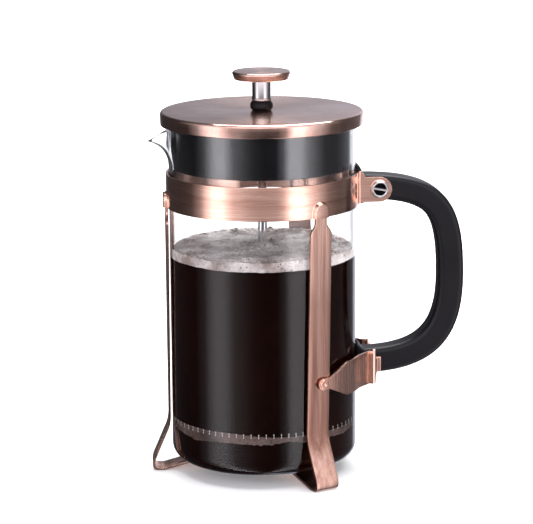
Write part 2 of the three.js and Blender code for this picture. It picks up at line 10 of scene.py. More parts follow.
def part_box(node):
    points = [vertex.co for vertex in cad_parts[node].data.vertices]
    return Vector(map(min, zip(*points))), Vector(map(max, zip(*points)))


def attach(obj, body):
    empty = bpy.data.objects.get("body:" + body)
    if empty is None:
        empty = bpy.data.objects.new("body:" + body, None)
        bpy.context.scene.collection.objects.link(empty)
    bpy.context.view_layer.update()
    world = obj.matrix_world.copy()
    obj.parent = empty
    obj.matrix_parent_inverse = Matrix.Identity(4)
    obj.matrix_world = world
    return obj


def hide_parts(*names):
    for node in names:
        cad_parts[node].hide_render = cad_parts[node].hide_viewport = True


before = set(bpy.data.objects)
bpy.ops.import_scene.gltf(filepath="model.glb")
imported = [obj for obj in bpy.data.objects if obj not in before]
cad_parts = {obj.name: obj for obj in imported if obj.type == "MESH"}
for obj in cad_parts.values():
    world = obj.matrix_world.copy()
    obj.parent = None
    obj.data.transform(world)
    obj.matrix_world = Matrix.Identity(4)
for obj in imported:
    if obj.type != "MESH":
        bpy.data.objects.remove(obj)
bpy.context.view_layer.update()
MM = 0.001

# Places read from the frame.
LOW, HIGH = 0, 1


def edge_of(node, end, axis):
    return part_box(node)[end][axis]


def bottom_of(node):
    return edge_of(node, LOW, 2)


def top_of(node):
    return edge_of(node, HIGH, 2)


def half_width(node):
    return (edge_of(node, HIGH, 1) - edge_of(node, LOW, 1)) / 2


AXIS_X = (edge_of("plunger_rod", LOW, 0) + edge_of("plunger_rod", HIGH, 0)) / 2
GLASS_RADIUS = half_width("beaker")
GLASS_BOTTOM = bottom_of("beaker")
GLASS_RIM = top_of("beaker")
BAND_BOTTOM = bottom_of("band")
BAND_TOP = top_of("band")
TAB_END = edge_of("band", HIGH, 0) - AXIS_X
LID_RADIUS = half_width("lid_cover")
LID_TOP = top_of("lid_cover")
LID_BOTTOM = bottom_of("lid_cover")
COLLAR_BOTTOM = bottom_of("lid_collar")
COLLAR_TOP = top_of("lid_collar")
COLLAR_FLANGE = half_width("lid_collar")
BUSHING_TOP = top_of("rod_bushing")
BUSHING_RADIUS = half_width("rod_bushing")
ROD_RADIUS = half_width("plunger_rod")
ROD_BOTTOM = bottom_of("plunger_rod")
ROD_TOP = top_of("plunger_rod")
COLUMN_BOTTOM = bottom_of("knob_column")
COLUMN_TOP = top_of("knob_column")
KNOB_RADIUS = half_width("knob")
KNOB_BOTTOM = bottom_of("knob")
KNOB_TOP = top_of("knob")
STRAP_Z = (bottom_of("strap_left") + top_of("strap_left")) / 2
STRAP_HEIGHT = top_of("strap_left") - bottom_of("strap_left")
MESH_TOP = top_of("mesh_screen")
SCREW_X = (edge_of("handle_screw", LOW, 0) + edge_of("handle_screw", HIGH, 0)) / 2 - AXIS_X
SCREW_Z = (bottom_of("handle_screw") + top_of("handle_screw")) / 2
HANDLE_END = edge_of("handle", HIGH, 0) - AXIS_X

# Driving dimensions that the frame doesn't state.
GLASS_WALL = 2 * MM
GLASS_BASE = 2.5 * MM
GLASS_HEEL = 8 * MM
SPOUT_REACH = 12.3 * MM
SPOUT_DROP = 9.5 * MM
SPOUT_START = 166 * MM
SPOUT_HALF_ANGLE = math.radians(18)
SPOUT_DIP_ANGLE = math.radians(16.5)
STRIP = 1.2 * MM
BAND_RADIUS = 51 * MM
TAB_HEIGHT = 13.5 * MM
TAB_Z = 152.8 * MM
TAB_GAP = 0.3 * MM
BEAD_Z = 154.2 * MM
BEAD_ANGLE = math.radians(21)
LEG_ANGLES = {"leg_spout": math.pi, "leg_left": math.pi / 3, "leg_right": -math.pi / 3}
LEG_RADIUS = 51.5 * MM
LEG_WIDTH = 13.6 * MM
SHOULDER_TOP = 142.6 * MM
SHOULDER_BOTTOM = 136.6 * MM
LEG_TWIST = math.radians(-2.8)
LEG_TWIST_TOP = 136.8 * MM
LEG_TWIST_BOTTOM = 30.5 * MM
TONGUE_WIDTH = 7.4 * MM
TONGUE_TOP = 151.6 * MM
POCKET_WIDTH = 9.4 * MM
POCKET_HEIGHT = 8.3 * MM
LEG_BEND = 28 * MM
FOOT_RADIUS = 61 * MM
LEG_INNER_Z = 5.5 * MM
LEG_INNER_END = 6 * MM
STRAP_RADIUS = 53.6 * MM
STRAP_NECK = 6.2 * MM
STRAP_TAB_HEIGHT = 8.3 * MM
EYE_RADIUS = 3.2 * MM
HANDLE_WIDTH = 13.4 * MM
HANDLE_DEPTH = 13.8 * MM
HANDLE_ROOT = 51.8 * MM
HANDLE_BOW = HANDLE_END - HANDLE_DEPTH / 2
TAB_SIDE = HANDLE_WIDTH / 2 + TAB_GAP + STRIP / 2
SCREW_HEAD_RADIUS = 4.8 * MM
LID_SHEET = 1 * MM
LID_HOLE = 4.4 * MM
COLLAR_RADIUS = 47.3 * MM
COLLAR_WALL = 1.5 * MM
SLOT_WIDTH = 2.4 * MM
SLOT_BOTTOM = 173.5 * MM
SLOT_TOP = 186.5 * MM
COLUMN_RADIUS = 5 * MM
SPRING_RADIUS = 46.65 * MM
COFFEE_RADIUS = 48.1 * MM
COFFEE_TOP = 118.3 * MM
FOAM_TOP = 123.2 * MM
SEGMENTS = 192

# Camera: the photographed view, about 12 degrees above the press and 6 degrees off square.
CAMERA_DISTANCE = 1.3284
CAMERA_HEIGHT = 0.3956
CAMERA_TURN = math.radians(6.0)
CAMERA_PAN = math.radians(0.085)
CAMERA_TILT = math.radians(12.0)
CAMERA_ROLL = math.radians(-0.45)
CAMERA_LENS = 170.2


# Mesh building.
def new_piece(name, vertices, faces, sharp=35):
    mesh = bpy.data.meshes.new(name)
    mesh.from_pydata(vertices, [], faces)
    bm = bmesh.new()
    bm.from_mesh(mesh)
    bmesh.ops.recalc_face_normals(bm, faces=bm.faces)
    bm.to_mesh(mesh)
    bm.free()
    smooth_mesh(mesh, sharp)
    piece = bpy.data.objects.new(name, mesh)
    bpy.context.collection.objects.link(piece)
    return piece


def smooth_mesh(mesh, sharp=35):
    for face in mesh.polygons:
        face.use_smooth = True
    mesh.set_sharp_from_angle(angle=math.radians(sharp))


def settle(piece):
    """Turns the piece's modifiers into mesh."""
    evaluated = piece.evaluated_get(bpy.context.evaluated_depsgraph_get())
    mesh = bpy.data.meshes.new_from_object(evaluated)
    piece.modifiers.clear()
    piece.data = mesh
    smooth_mesh(mesh)
    return piece


def bevelled(piece, width, segments=3, angle=40):
    bevel = piece.modifiers.new("edges", "BEVEL")
    bevel.width = width
    bevel.segments = segments
    bevel.limit_method = "ANGLE"
    bevel.angle_limit = math.radians(angle)
    bevel.use_clamp_overlap = True
    return settle(piece)


def cut(piece, cutter):
    boolean = piece.modifiers.new("cut", "BOOLEAN")
    boolean.object = cutter
    boolean.solver = "EXACT"
    settle(piece)
    bpy.data.objects.remove(cutter)
    return piece


def finish_piece(piece, material, body, slot, *nodes):
    piece.data.materials.clear()
    piece.data.materials.append(material)
    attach(piece, body)
    if nodes:
        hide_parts(*nodes)
    return piece


def filleted(points, closed, steps=5):
    """Rounds a profile of (radius, z, fillet) corners and returns (radius, z) points."""
    result = []
    count = len(points)
    for i, (x, z, fillet) in enumerate(points):
        here = Vector((x, z))
        if fillet <= 0 or (not closed and i in (0, count - 1)):
            result.append((x, z))
            continue
        before = (Vector(points[i - 1][:2]) - here).normalized()
        after = (Vector(points[(i + 1) % count][:2]) - here).normalized()
        half = before.angle(after) / 2
        reach = fillet / math.tan(half)
        centre = here + (before + after).normalized() * (fillet / math.sin(half))
        start, end = here + before * reach - centre, here + after * reach - centre
        turn = start.angle_signed(end)
        for step in range(steps + 1):
            angle = -turn * step / steps
            arm = Vector((
                start.x * math.cos(angle) - start.y * math.sin(angle),
                start.x * math.sin(angle) + start.y * math.cos(angle),
            ))
            result.append(tuple(centre + arm))
    return result


def turned(name, profile, closed=False, segments=SEGMENTS, centre=None, sharp=35):
    """A profile of (radius, z) points turned about an upright axis."""
    centre = centre or (AXIS_X, 0)
    vertices, faces, rows = [], [], []
    for radius, z in profile:
        if radius < 1e-7:
            rows.append([len(vertices)])
            vertices.append((centre[0], centre[1], z))
            continue
        rows.append(list(range(len(vertices), len(vertices) + segments)))
        for i in range(segments):
            angle = 2 * math.pi * i / segments
            vertices.append((centre[0] + radius * math.cos(angle), centre[1] + radius * math.sin(angle), z))
    pairs = list(zip(rows, rows[1:]))
    if closed:
        pairs.append((rows[-1], rows[0]))
    for first, second in pairs:
        faces.extend(ring_faces(first, second, segments))
    return new_piece(name, vertices, faces, sharp)


def ring_faces(first, second, segments):
    faces = []
    for i in range(segments):
        j = (i + 1) % segments
        if len(first) == 1 and len(second) == 1:
            continue
        if len(first) == 1:
            faces.append((first[0], second[i], second[j]))
        elif len(second) == 1:
            faces.append((first[i], first[j], second[0]))
        else:
            faces.append((first[i], first[j], second[j], second[i]))
    return faces


def tube_faces(stations, sides, closed):
    """Faces between sections of equally many points that follow each other in the vertex list."""
    faces = []
    for i in range(stations if closed else stations - 1):
        first, second = i * sides, (i + 1) % stations * sides
        for k in range(sides):
            n = (k + 1) % sides
            faces.append((first + k, first + n, second + n, second + k))
    return faces


def strip(name, stations, rows=2, emboss=None, thickness=STRIP):
    """A bent strip. Each station is (centre, normal, across, low edge, high edge, travelled)."""
    vertices, faces = [], []
    count = len(stations)
    for side in (1, -1):
        for centre, normal, across, low, high, travelled in stations:
            for row in range(rows):
                height = low + (high - low) * row / (rows - 1)
                lift = side * thickness / 2
                if emboss:
                    lift += emboss(centre, height)
                vertices.append(tuple(centre + across * height + normal * lift))
    half = count * rows
    for i in range(count - 1):
        for row in range(rows - 1):
            a = i * rows + row
            faces.append((a, a + 1, a + rows + 1, a + rows))
            faces.append((half + a, half + a + rows, half + a + rows + 1, half + a + 1))
        for row, order in ((0, 1), (rows - 1, -1)):
            a = i * rows + row
            faces.append((a, a + rows, half + a + rows, half + a)[::order])
    for i, order in ((0, -1), (count - 1, 1)):
        for row in range(rows - 1):
            a = i * rows + row
            faces.append((a, a + 1, half + a + 1, half + a)[::order])
    return new_piece(name, vertices, faces)


def stations_along(points, place, across, edges):
    travelled = [0.0]
    for before, after in zip(points, points[1:]):
        travelled.append(travelled[-1] + math.dist(before, after))
    result = []
    origin = place(0, 0)
    for i, point in enumerate(points):
        before = points[max(i - 1, 0)]
        after = points[min(i + 1, len(points) - 1)]
        along = Vector((after[0] - before[0], after[1] - before[1])).normalized()
        normal = place(along.y, -along.x) - origin
        low, high = edges(point, travelled[i])
        result.append((place(*point), normal, across, low, high, travelled[i]))
    return result


def arc(centre, radius, start, end, steps):
    points = []
    for i in range(steps + 1):
        angle = math.radians(start + (end - start) * i / steps)
        points.append((centre[0] + radius * math.cos(angle), centre[1] + radius * math.sin(angle)))
    return points


def bezier(controls, steps):
    """Points of a Bezier curve of any order."""
    points = []
    for i in range(steps + 1):
        share = i / steps
        layer = [Vector(c) for c in controls]
        while len(layer) > 1:
            layer = [a.lerp(b, share) for a, b in zip(layer, layer[1:])]
        points.append(tuple(layer[0]))
    return points


def smoothstep(value, low, high):
    share = min(1.0, max(0.0, (value - low) / (high - low)))
    return share * share * (3 - 2 * share)


# Materials.
PAINTED_SHADE_SPAN = 1 / 6  # Metres of height that the legs' painted shade ramp covers.


def fill_ramp(ramp, stops):
    ends = ramp.elements[0], ramp.elements[1]
    for end, (place, colour) in zip(ends, (stops[0], stops[-1])):
        end.position = place
        end.color = (*colour, 1.0)
    for place, colour in stops[1:-1]:
        ramp.elements.new(place).color = (*colour, 1.0)


class NodeTree:
    """Short calls that add nodes to a tree. An input is named by its label, or by its number after a _."""

    def __init__(self, tree):
        self.tree = tree

    def node(self, kind, output=0, settings=None, **inputs):
        node = self.tree.nodes.new("ShaderNode" + kind)
        for label, value in (settings or {}).items():
            setattr(node, label, value)
        for label, value in inputs.items():
            key = int(label[1:]) if label[0] == "_" else label.replace("_", " ")
            self.feed(node.inputs[key], value)
        return node.outputs[output]

    def feed(self, socket, value):
        if isinstance(value, bpy.types.NodeSocket):
            self.tree.links.new(value, socket)
        else:
            socket.default_value = value

    def math(self, operation, first, second=0.0, third=0.0, clamp=False):
        settings = {"operation": operation, "use_clamp": clamp}
        return self.node("Math", settings=settings, _0=first, _1=second, _2=third)

    def ramp(self, value, *stops):
        colour = self.node("ValToRGB", Fac=value)
        fill_ramp(colour.node.color_ramp, stops)
        return colour

    def mix(self, share, first, second, mode="MIX"):
        settings = {"data_type": "RGBA", "blend_type": mode}
        return self.node("Mix", 2, settings, Factor=share, _6=first, _7=second)


class Shader(NodeTree):
    """A node material with a Principled shader."""

    def __init__(self, name, **values):
        self.material = bpy.data.materials.new(name)
        self.material.use_nodes = True
        super().__init__(self.material.node_tree)
        self.surface = self.tree.nodes["Principled BSDF"]
        for label, value in values.items():
            self.surface.inputs[label.replace("_", " ")].default_value = value
        self.coordinates = self.node("TexCoord", "Object")

    def give(self, label, value):
        self.feed(self.surface.inputs[label], value)

    def stretched(self, x, y, z):
        return self.node("Mapping", Vector=self.coordinates, Scale=(x, y, z))

    def noise(self, vector, scale, detail=3.0, roughness=0.5):
        return self.node("TexNoise", Vector=vector, Scale=scale, Detail=detail, Roughness=roughness)

    def bump(self, height, strength, distance):
        normal = self.node("Bump", Height=height, Strength=strength, Distance=distance)
        self.give("Normal", normal)

    def let_light_through(self, share):
        """Shadows of clear glass are pale."""
        clear = self.node("BsdfTransparent", Color=(share, share, share, 1))
        shadow = self.node("LightPath", "Is Shadow Ray")
        mixed = self.node("MixShader", _0=shadow, _1=self.surface.outputs[0], _2=clear)
        self.tree.links.new(mixed, self.tree.nodes["Material Output"].inputs["Surface"])

    def hide_from_reflections(self):
        """What is seen in a mirror surface passes straight through."""
        clear = self.node("BsdfTransparent")
        mirrored_once = self.math("GREATER_THAN", self.node("LightPath", "Glossy Depth"), 0.5)
        mixed = self.node("MixShader", _0=mirrored_once, _1=self.surface.outputs[0], _2=clear)
        self.tree.links.new(mixed, self.tree.nodes["Material Output"].inputs["Surface"])

    def from_axis(self):
        """Distance from the press's axis, in metres."""
        axis = (AXIS_X, 0, 0)
        moved = self.node("VectorMath", settings={"operation": "SUBTRACT"}, _0=self.coordinates, _1=axis)
        flat = self.node("VectorMath", settings={"operation": "MULTIPLY"}, _0=moved, _1=(1, 1, 0))
        return self.node("VectorMath", 1, {"operation": "LENGTH"}, _0=flat)


def brushed_copper(name, streaks, turn, tones, roughness, contrast=0.35, drift=(55, 55, 55), painted_shade=None):
    """Antique copper plate. streaks(shader) gives the fine brush lines and turn their direction.

    drift stretches the darker patches, and painted_shade darkens the copper by height above the floor, as
    painted shade for how light falls down the legs.
    """
    shader = Shader(name, Metallic=1.0, Anisotropic=0.8, Anisotropic_Rotation=turn)
    tangent = shader.node("Tangent", settings={"direction_type": "RADIAL", "axis": "Z"})
    shader.give("Tangent", tangent)
    lines = streaks(shader)
    patches = shader.noise(shader.stretched(*drift), 1.0, 4.0, 0.6)
    dark, mid, pale = tones
    tone = shader.ramp(patches, (0.30, dark), (0.52, mid), (0.80, pale))
    lined = shader.mix(contrast, tone, shader.ramp(lines, (0.30, dark), (0.70, pale)))
    # Painted shade: a ramp over height multiplies the copper darker, in place of the light that falls off
    # down the legs.
    if painted_shade:
        height = shader.node("SeparateXYZ", 2, Vector=shader.coordinates)
        share = shader.math("MULTIPLY", height, 1 / PAINTED_SHADE_SPAN)
        lined = shader.mix(1.0, lined, shader.ramp(share, *painted_shade), "MULTIPLY")
    shader.give("Base Color", lined)
    shader.give("Roughness", shader.math("MULTIPLY_ADD", lines, 0.16, roughness - 0.08))
    shader.bump(lines, 0.12, 0.00005)
    return shader.material


def ring_streaks(shader):
    radius = shader.from_axis()
    settings = {"noise_dimensions": "1D"}
    fine = shader.node("TexNoise", settings=settings, W=radius, Scale=5200.0, Detail=4.0)
    broad = shader.node("TexNoise", settings=settings, W=radius, Scale=900.0, Detail=2.0)
    return shader.math("ADD", shader.math("MULTIPLY", fine, 0.6), shader.math("MULTIPLY", broad, 0.4))


def level_streaks(shader):
    return shader.noise(shader.stretched(30.0, 30.0, 4200.0), 1.0, 5.0, 0.65)


def upright_streaks(shader):
    return shader.noise(shader.stretched(3600.0, 3600.0, 22.0), 1.0, 5.0, 0.65)


def polished_steel(name, colour=(0.78, 0.77, 0.78), roughness=0.07, metallic=1.0):
    shader = Shader(name, Metallic=metallic)
    smears = shader.noise(shader.stretched(60.0, 60.0, 260.0), 1.0, 3.0)
    shader.give("Base Color", shader.mix(smears, (*[c * 0.92 for c in colour], 1), (*colour, 1)))
    shader.give("Roughness", shader.math("MULTIPLY_ADD", smears, 0.08, roughness - 0.03))
    shader.bump(smears, 0.05, 0.00002)
    return shader.material


def moulded_plastic(name, colour, roughness, grain, shine=0.4):
    shader = Shader(name, Specular_IOR_Level=shine)
    fine = shader.noise(shader.coordinates, 2600.0, 3.0)
    broad = shader.noise(shader.coordinates, 40.0, 3.0)
    paler = tuple(c * 1.35 for c in colour)
    shader.give("Base Color", shader.mix(broad, (*colour, 1), (*paler, 1)))
    shader.give("Roughness", shader.math("MULTIPLY_ADD", broad, 0.12, roughness - 0.06))
    shader.bump(fine, grain, 0.00004)
    return shader.material


def clear_glass():
    """Weaker in reflection than real glass, so that the coffee and the collar stay dark behind it."""
    shader = Shader("clear_glass", Transmission_Weight=1.0, IOR=1.36, Specular_IOR_Level=0.22)
    shader.give("Base Color", (0.985, 0.99, 0.988, 1))
    smudges = shader.noise(shader.coordinates, 28.0, 4.0)
    above = shader.math("SUBTRACT", smudges, 0.60, clamp=True)
    shader.give("Roughness", shader.math("MULTIPLY", above, 0.02))
    waves = shader.noise(shader.stretched(14.0, 14.0, 5.0), 1.0, 2.0)
    shader.bump(waves, 0.08, 0.0004)
    shader.let_light_through(0.93)
    return shader.material


def dark_coffee():
    shader = Shader("dark_coffee", Specular_IOR_Level=0.0)
    depth = shader.noise(shader.stretched(18.0, 18.0, 9.0), 1.0, 3.0)
    deep, pale = (0.0045, 0.0008, 0.0004), (0.012, 0.0028, 0.0014)
    shader.give("Base Color", shader.ramp(depth, (0.35, deep), (0.75, pale)))
    shader.give("Roughness", shader.math("MULTIPLY_ADD", depth, 0.1, 0.16))
    return shader.material


def coffee_foam(name, pale, deep, bubble, murk):
    """Foam of many small bubbles: pale walls, dark pits, and murkier patches between cloudy ones."""
    shader = Shader(name, Specular_IOR_Level=0.4, Roughness=0.45)
    cloud = shader.noise(shader.coordinates, 48.0, 5.0, 0.62)
    tone = shader.ramp(cloud, (murk - 0.12, deep), (murk + 0.10, pale))
    pitted = tone
    heights = []
    for scale, share, reach in ((bubble, 0.50, 0.34), (bubble * 2.3, 0.42, 0.36)):
        cell = shader.node("TexVoronoi", Vector=shader.coordinates, Scale=scale)
        chance = shader.node("SeparateColor", _0=cell.node.outputs["Color"])
        chosen = shader.math("LESS_THAN", chance, share)
        pit = shader.math("MULTIPLY", shader.math("SUBTRACT", reach, cell, clamp=True), 3.4, clamp=True)
        pitted = shader.mix(shader.math("MULTIPLY", pit, chosen), pitted, (*[c * 0.2 for c in deep], 1))
        heights.append(shader.math("MULTIPLY", cell, 700.0 / scale))
    shader.give("Base Color", pitted)
    shader.bump(shader.math("ADD", *heights), 0.6, 0.0005)
    return shader.material


def woven_mesh():
    shader = Shader("woven_mesh", Metallic=1.0, Roughness=0.35)
    warp = shader.node("TexWave", settings={"bands_direction": "X"}, Vector=shader.coordinates, Scale=450.0)
    weft = shader.node("TexWave", settings={"bands_direction": "Y"}, Vector=shader.coordinates, Scale=450.0)
    weave = shader.math("MULTIPLY", warp, weft)
    shader.give("Base Color", shader.ramp(weave, (0.05, (0.10, 0.10, 0.10)), (0.5, (0.62, 0.61, 0.60))))
    shader.bump(weave, 0.6, 0.0002)
    return shader.material


# Dark, middle and pale tones of the copper, then the painted shade on the legs from the floor up.
# The lid and knob tones below are the copper of WARM_TONES made darker: painted shade for the dim room
# behind that the tops reflect.
SHADED_TOP_TONES = ((0.42, 0.25, 0.20), (0.62, 0.41, 0.345), (0.80, 0.58, 0.50))
WARM_TONES = ((0.54, 0.27, 0.195), (0.80, 0.475, 0.375), (0.95, 0.665, 0.545))
LEG_TONES = ((0.34, 0.165, 0.12), (0.70, 0.42, 0.33), (0.92, 0.65, 0.54))
UNSHADED = (1.0, 1.0, 1.0)
# Painted shade on the legs: darkest about 28 mm up, still darker at 100 mm, plain at the foot and from
# about 137 mm up.
LEG_PAINTED_SHADE = ((0.07, UNSHADED), (0.17, (0.50, 0.44, 0.42)), (0.60, (0.60, 0.56, 0.55)), (0.82, UNSHADED))

# Painted shade: the lid and knob copper is darker than the band's same copper.
lid_copper = brushed_copper("copper_ring_brushed", ring_streaks, 0.25, SHADED_TOP_TONES, 0.17)
band_copper = brushed_copper("copper_band", level_streaks, 0.25, WARM_TONES, 0.22, 0.35, (25, 25, 200))
# The legs' copper carries the painted shade by height.
strip_copper = brushed_copper(
    "copper_strip", upright_streaks, 0.0, LEG_TONES, 0.25, 0.30, (260, 260, 14), LEG_PAINTED_SHADE)
strap_copper = brushed_copper("copper_strap", upright_streaks, 0.0, WARM_TONES, 0.25, 0.28, (260, 260, 30))
steel = polished_steel("polished_steel")
screw_steel = polished_steel("screw_steel", (0.70, 0.68, 0.68), 0.28)
dark_steel = polished_steel("smoked_steel", (0.50, 0.47, 0.47), 0.06)
filter_steel = polished_steel("filter_steel", (0.70, 0.69, 0.68), 0.22)
satin_black = moulded_plastic("satin_black", (0.0046, 0.0040, 0.0052), 0.36, 0.25, 0.20)
black_oxide = polished_steel("black_oxide", (0.045, 0.042, 0.045), 0.12)
gloss_black = moulded_plastic("gloss_black", (0.0010, 0.0009, 0.0014), 0.07, 0.03, 0.95)
glass = clear_glass()
coffee = dark_coffee()
top_foam = coffee_foam("top_foam", (0.93, 0.86, 0.86), (0.32, 0.24, 0.225), 520.0, 0.49)
low_foam = coffee_foam("low_foam", (0.145, 0.092, 0.080), (0.030, 0.014, 0.010), 480.0, 0.50)
bright_wire = polished_steel("bright_wire", (0.93, 0.92, 0.91), 0.35, 0.35)
mesh_weave = woven_mesh()


# Glass.
def pulled_spout(vertices):
    """Draws the rim out into the pouring spout and lets it dip."""
    for vertex in vertices:
        x, y, z = vertex.co.x - AXIS_X, vertex.co.y, vertex.co.z
        away = abs(math.atan2(y, -x))
        if z <= SPOUT_START or away >= SPOUT_HALF_ANGLE:
            continue
        rise = (z - SPOUT_START) / (GLASS_RIM - SPOUT_START)
        pull = rise ** 2 * math.cos(math.pi / 2 * away / SPOUT_HALF_ANGLE) ** 2
        dip = rise ** 2 * math.cos(math.pi / 2 * min(1, away / SPOUT_DIP_ANGLE)) ** 2
        radius = math.hypot(x, y)
        stretch = (radius + SPOUT_REACH * pull) / radius
        vertex.co = (AXIS_X + x * stretch, y * stretch, z - SPOUT_DROP * dip)


def make_beaker():
    inner = GLASS_RADIUS - GLASS_WALL
    floor = GLASS_BOTTOM + GLASS_BASE
    outer_heel = (GLASS_RADIUS - GLASS_HEEL, GLASS_BOTTOM + GLASS_HEEL)
    heel = GLASS_HEEL - GLASS_WALL
    rim = GLASS_RIM - GLASS_WALL / 2
    steps = 22
    wall = [SPOUT_START + (rim - SPOUT_START) * i / steps for i in range(steps + 1)]
    profile = [(0, GLASS_BOTTOM + 0.6 * MM), (22 * MM, GLASS_BOTTOM + 0.3 * MM)]
    profile += arc(outer_heel, GLASS_HEEL, -90, 0, 12)
    profile += [(GLASS_RADIUS, z) for z in wall]
    profile += arc((GLASS_RADIUS - GLASS_WALL / 2, rim), GLASS_WALL / 2, 0, 180, 10)[1:-1]
    profile += [(inner, z) for z in reversed(wall)]
    profile += arc((inner - heel, floor + heel), heel, 0, -90, 10)
    profile.append((0, floor))
    piece = turned("glass_beaker", profile, segments=240, sharp=80)
    pulled_spout(piece.data.vertices)
    return finish_piece(piece, glass, "glass", "glass", "beaker")


# Coffee and foam, which ride with the glass.
def make_coffee():
    """Filled to the foam. Its skin lies just inside the glass wall, so no gap shows between them."""
    skin = COFFEE_RADIUS - (GLASS_RADIUS - GLASS_WALL)
    floor = GLASS_BOTTOM + GLASS_BASE - skin
    heel = GLASS_HEEL - GLASS_WALL + skin
    profile = [(0, floor)]
    profile += arc((COFFEE_RADIUS - heel, floor + heel), heel, -90, 0, 10)
    profile += [(COFFEE_RADIUS, COFFEE_TOP), (0, COFFEE_TOP)]
    return finish_piece(turned("coffee", profile, segments=240), coffee, "glass", "glass")


def foam_height(x, y):
    spot = Vector((x, y, 0))
    swell = noise.noise(spot * 45) * 0.7 + noise.noise(spot * 160) * 0.35
    froth = noise.cell(spot * 700) * 0.12 + abs(noise.noise(spot * 520)) * 0.35
    radius = math.hypot(x - AXIS_X, y)
    wall_climb = 0.5 * smoothstep(radius, 42 * MM, COFFEE_RADIUS)
    rod_climb = 2.2 * (1 - smoothstep(radius, ROD_RADIUS, 7 * MM))
    return FOAM_TOP + (swell + froth + wall_climb + rod_climb - 0.8) * MM


def make_foam():
    rings, around = 90, 480
    radius = COFFEE_RADIUS + 0.02 * MM
    turns = [2 * math.pi * i / around for i in range(around)]
    vertices = [(AXIS_X, 0, foam_height(AXIS_X, 0))]
    rows = [[0]]
    for ring in range(1, rings + 1):
        reach = radius * ring / rings
        rows.append(list(range(len(vertices), len(vertices) + around)))
        for angle in turns:
            x, y = AXIS_X + reach * math.cos(angle), reach * math.sin(angle)
            vertices.append((x, y, foam_height(x, y)))
    rows.append(list(range(len(vertices), len(vertices) + around)))
    for angle in turns:
        x, y = AXIS_X + radius * math.cos(angle), radius * math.sin(angle)
        sag = noise.noise(Vector((x, y, 3)) * 60) * 0.5 + noise.noise(Vector((x, y, 5)) * 300) * 0.25
        vertices.append((x, y, COFFEE_TOP + sag * MM - 0.3 * MM))
    rows.append([len(vertices)])
    vertices.append((AXIS_X, 0, COFFEE_TOP - 0.5 * MM))
    faces = []
    for first, second in zip(rows, rows[1:]):
        faces.extend(ring_faces(first, second, around))
    piece = new_piece("coffee_foam", vertices, faces, sharp=60)
    return finish_piece(piece, top_foam, "glass", "glass")


def make_bubbles():
    """Larger bubbles standing in the foam, more of them by the wall and round the rod."""
    draw = random.Random(11)
    bm = bmesh.new()
    for _ in range(620):
        by_wall = draw.random() < 0.7
        reach = COFFEE_RADIUS * (draw.uniform(0.80, 0.965) if by_wall else draw.uniform(0.1, 0.85))
        angle = draw.uniform(0, 2 * math.pi)
        size = draw.uniform(0.35, 1.0) ** 2 * 1.25 * MM
        x, y = AXIS_X + reach * math.cos(angle), reach * math.sin(angle)
        place = Matrix.Translation((x, y, foam_height(x, y) + 0.1 * size))
        squat = Matrix.Diagonal((1, 1, draw.uniform(0.6, 0.85), 1))
        bmesh.ops.create_icosphere(bm, subdivisions=2, radius=size, matrix=place @ squat)
    mesh = bpy.data.meshes.new("foam_bubbles")
    bm.to_mesh(mesh)
    bm.free()
    smooth_mesh(mesh, 180)
    piece = bpy.data.objects.new("foam_bubbles", mesh)
    bpy.context.collection.objects.link(piece)
    return finish_piece(piece, top_foam, "glass", "glass")


def make_filter_foam():
    """Foam caught under the pressed filter, showing as an uneven ring at the glass."""
    around = 480
    outer, inner = COFFEE_RADIUS + 0.06 * MM, COFFEE_RADIUS - 1.2 * MM
    vertices = []
    for i in range(around):
        angle = 2 * math.pi * i / around
        c, s = math.cos(angle), math.sin(angle)
        spot = Vector((c, s, 0))
        climb = 1.9 * smoothstep(-c, -0.15, 0.55)
        top = MESH_TOP + (climb - 2.0 + noise.noise(spot * 30) * 0.3) * MM
        deep = 3.6 + 1.8 * noise.noise(spot * 3.1 + Vector((2, 0, 0))) + 0.9 * noise.noise(spot * 24)
        bottom = MESH_TOP - (2.0 + deep) * MM
        for radius, z in ((outer, top), (outer, bottom), (inner, bottom), (inner, top)):
            vertices.append((AXIS_X + radius * c, radius * s, z))
    piece = new_piece("filter_foam", vertices, tube_faces(around, 4, True))
    return finish_piece(piece, low_foam, "plunger", "filter_steel")


# Strip frame.
def band_emboss(centre, height):
    """Pockets for the three legs and a short bead beside each tab."""
    x, y = centre.x - AXIS_X, centre.y
    if math.hypot(x, y) > BAND_RADIUS + 1 * MM:
        return 0.0
    angle = math.atan2(y, x)
    lift = 0.0
    for leg in LEG_ANGLES.values():
        off = math.remainder(angle - leg, 2 * math.pi) * BAND_RADIUS
        if abs(off) > 8 * MM:
            continue
        half = POCKET_WIDTH / 2
        above = max(0.0, height - BAND_BOTTOM - (POCKET_HEIGHT - half))
        inside = half - math.hypot(off, above)
        lift = max(lift, 1.9 * MM * smoothstep(inside, -0.1 * MM, 0.8 * MM))
    for side in (1, -1):
        off = math.remainder(angle - side * BEAD_ANGLE, 2 * math.pi) * BAND_RADIUS
        tall = abs(height - BEAD_Z)
        bead = smoothstep(1.0 * MM - abs(off), 0, 0.9 * MM) * smoothstep(4.6 * MM - tall, 0, 1.4 * MM)
        waist = 1 - 0.45 * (1 - smoothstep(tall, 0, 0.9 * MM))
        lift = max(lift, 0.55 * MM * bead * waist)
    return lift


def upright(x, y):
    return Vector((AXIS_X + x, y, 0))


